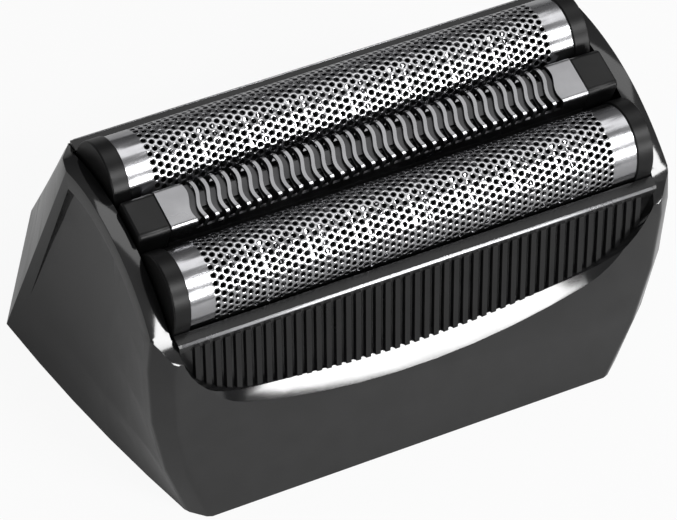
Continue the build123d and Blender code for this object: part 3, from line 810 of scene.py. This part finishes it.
# %% Camera
VIEW_AZIMUTH, VIEW_ELEVATION, VIEW_ROLL = -42.72, 56.53, 19.16
VIEW_DISTANCE = 0.40966
VIEW_CENTRE = Vector((0, 0, 5.29 * MM))
FOCAL_PIXELS = 4500.0
FRAME_W = 677.0
SHIFT_PIXELS = (3.79, -4.29)
SENSOR_W = 36.0


def view_axes(azimuth, elevation, roll):
    """The picture's right, its up and the way back to the camera."""
    a, e, r = (math.radians(v) for v in (azimuth, elevation, roll))
    right = Vector((math.cos(a), math.sin(a), 0))
    back = Vector((math.sin(a) * math.cos(e), -math.cos(a) * math.cos(e), math.sin(e)))
    up = back.cross(right)
    return (math.cos(r) * right + math.sin(r) * up, math.cos(r) * up - math.sin(r) * right, back)


lens = bpy.data.cameras.new("product_camera")
lens.sensor_fit = "HORIZONTAL"
lens.sensor_width = SENSOR_W
lens.lens = SENSOR_W * FOCAL_PIXELS / FRAME_W
lens.shift_x, lens.shift_y = (pixels / FRAME_W for pixels in SHIFT_PIXELS)
lens.clip_start, lens.clip_end = 0.01, 20.0
camera = bpy.data.objects.new("product_camera", lens)
bpy.context.scene.collection.objects.link(camera)
right, up, back = view_axes(VIEW_AZIMUTH, VIEW_ELEVATION, VIEW_ROLL)
turn = Matrix((right, up, back)).transposed().to_4x4()
camera.matrix_world = Matrix.Translation(back * VIEW_DISTANCE + VIEW_CENTRE) @ turn
bpy.context.scene.camera = camera
print("lens of", round(lens.lens, 1), "mm, at", [round(c / MM) for c in camera.matrix_world.translation])

# %% [markdown]
# Gloss and steel are drawn by what they mirror, so the lamps' places matter more than the colours here.
# Each panel stands where one part of the head mirrors it: the key gives the front corners and the foils
# their white bands, the panel at the back brightens the plates that face up, the low strip in front is
# what the crescent ledge shows, and a weak strip on the left draws the end wall. One large panel would
# light the head as well, but would turn all of it the same grey.

# %% Lamps
HEAD_MIDDLE = Vector((0, 0, 15 * MM))


def panel(name, place, size, power, roll=0.0):
    """A rectangular lamp of a (width, height) in metres that faces the head, rolled by some degrees."""
    light = bpy.data.lights.new(name, "AREA")
    light.shape = "RECTANGLE"
    light.size, light.size_y = size
    light.energy = power
    lamp = bpy.data.objects.new(name, light)
    bpy.context.scene.collection.objects.link(lamp)
    lamp.location = place
    lamp.rotation_mode = "QUATERNION"
    facing = (HEAD_MIDDLE - Vector(place)).to_track_quat("-Z", "Y")
    lamp.rotation_quaternion = facing @ Quaternion((0, 0, 1), math.radians(roll))
    print(name, "gives", power, "W")


panel("key_softbox", (0.25, -0.31, 0.53), (0.24, 0.15), 2.2)
panel("back_softbox", (0.25, 0.30, 0.62), (0.5, 0.35), 1.05)
panel("front_strip", (0.19, -0.42, 0.19), (0.20, 0.085), 1.3, roll=-14)
panel("left_strip", (-0.50, -0.22, 0.10), (0.05, 0.16), 0.4)

# %% [markdown]
# The air round the head fills in what no panel reaches. One even grey would do, but steel looks like
# steel only if it mirrors both light and dark, so the grey grows paler from the horizon up. The colours
# are shown as they are written, with the plain view transform.

# %% Air
HORIZON_GREY = (0.10, 0.10, 0.105, 1.0)
ZENITH_GREY = (0.5, 0.5, 0.5, 1.0)
ZENITH_FROM = 0.9          # height on the unit sphere from which the air is palest
AIR_STRENGTH = 0.8
world = bpy.data.worlds.new("studio_air")
bpy.context.scene.world = world
world.use_nodes = True
tree = world.node_tree
direction = add_node(tree, "ShaderNodeTexCoord")
height = add_node(tree, "ShaderNodeSeparateXYZ")
ramp = add_node(tree, "ShaderNodeValToRGB")
horizon, zenith = ramp.color_ramp.elements
horizon.color = HORIZON_GREY
zenith.color = ZENITH_GREY
zenith.position = ZENITH_FROM
air = tree.nodes["Background"]
air.inputs["Strength"].default_value = AIR_STRENGTH
tree.links.new(direction.outputs["Generated"], height.inputs["Vector"])
tree.links.new(height.outputs["Z"], ramp.inputs["Fac"])
tree.links.new(ramp.outputs["Color"], air.inputs["Color"])
bpy.context.scene.view_settings.view_transform = "Standard"
print(world.name, "goes from", HORIZON_GREY[0], "to", ZENITH_GREY[0])
